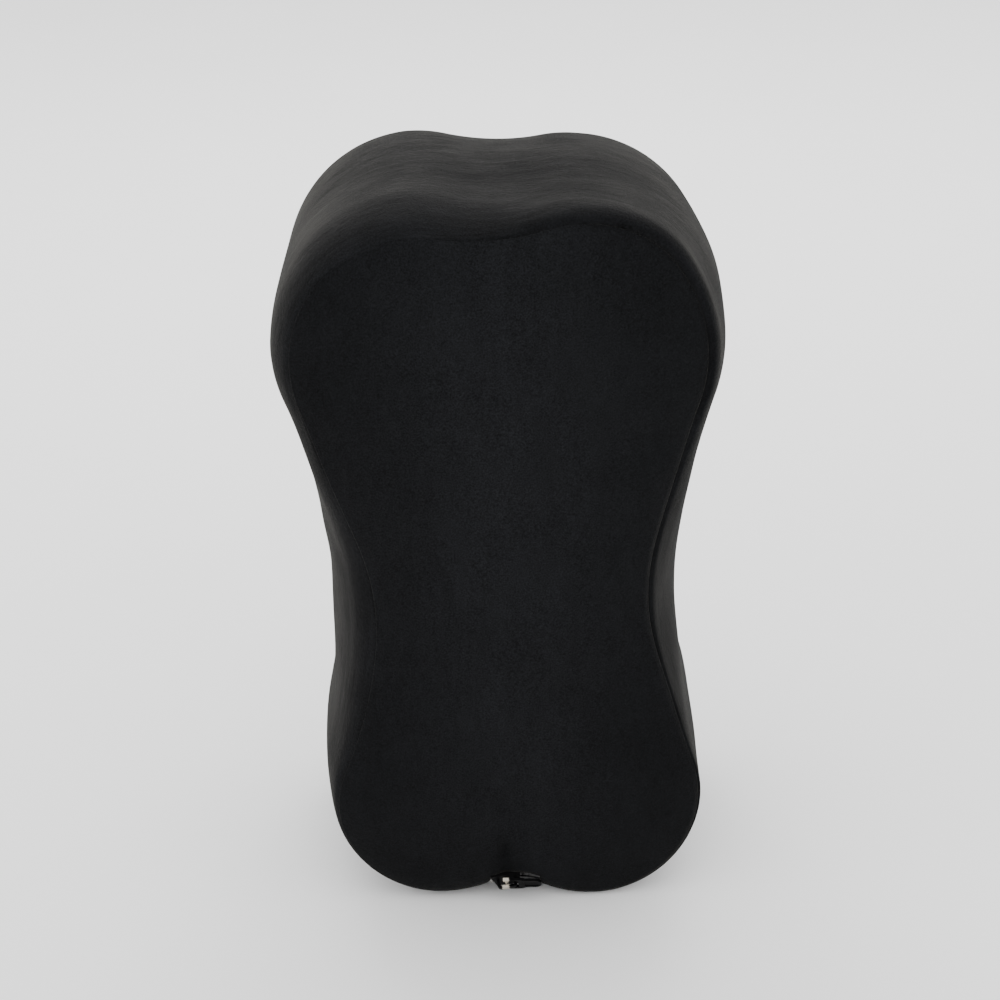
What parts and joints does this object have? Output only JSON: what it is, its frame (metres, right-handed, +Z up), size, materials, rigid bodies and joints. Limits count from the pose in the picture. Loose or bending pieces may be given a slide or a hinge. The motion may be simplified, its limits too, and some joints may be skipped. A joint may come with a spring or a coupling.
{
  "type": "chair headrest cushion",
  "caption": "Bone-shaped foam headrest cushion in a zipped velour cover, with a rear elastic strap, a ring and an adjuster that hold it to a chair back.",
  "frame": {"origin": "centre of the whole object's footprint, at the lower lobes' lowest line", "axes": "+Z up the cushion's long axis as it stands on its lower end, -Y the side the head rests on, +Y the side against the chair with the strap, +X to the right seen from the front"},
  "size_m": [0.17, 0.1354, 0.3],
  "materials": {
    "foam": "matte",
    "liner": "matte",
    "velour": "matte",
    "zip_tape": "matte",
    "zip_coil": "satin",
    "zip_metal": "polished",
    "webbing": "matte",
    "thread": "satin",
    "hardware": "satin"
  },
  "bodies": {
    "cushion": {"foam_core": "foam", "inner_liner": "liner", "front_panel": "velour", "back_panel": "velour", "gusset": "velour", "zip_tape_front": "zip_tape", "zip_tape_side": "zip_tape", "zip_coil_front": "zip_coil", "zip_coil_side": "zip_coil", "zip_top_stop": "zip_metal", "zip_bottom_stop": "zip_metal", "strap_lower_end": "webbing", "strap_lower_run": "webbing", "strap_loop_inner": "webbing", "strap_loop_outer": "webbing", "strap_turn": "webbing", "strap_upper": "webbing", "strap_ring": "hardware", "lower_box_stitch": "thread", "upper_box_stitch": "thread", "ring_bar_tack": "thread"},
    "zip_slider": {"slider_body": "zip_metal", "slider_crown": "zip_metal"},
    "zip_pull": {"pull_tab": "zip_metal"},
    "adjuster": {"tri_glide": "hardware", "strap_weave": "webbing", "strap_fold": "webbing"}
  },
  "joints": [
    {"name": "slider_run", "type": "hinge", "parent": "cushion", "child": "zip_slider", "pos_m": [0, -0.06368, -0.01955], "axis": [0, 1, 0], "range_deg": [0, 17.5]},
    {"name": "pull_swing", "type": "hinge", "parent": "zip_slider", "child": "zip_pull", "pos_m": [-0.00323, -0.06446, 0.00882], "axis": [0.098, 0.5, -0.8605], "range_deg": [0, 164]},
    {"name": "adjuster_slide", "type": "slide", "parent": "cushion", "child": "adjuster", "axis": [0, 0, 1], "range_m": [-0.014, 0.012], "deforming": ["strap_lower_run", "strap_loop_inner", "strap_loop_outer"]}
  ]
}
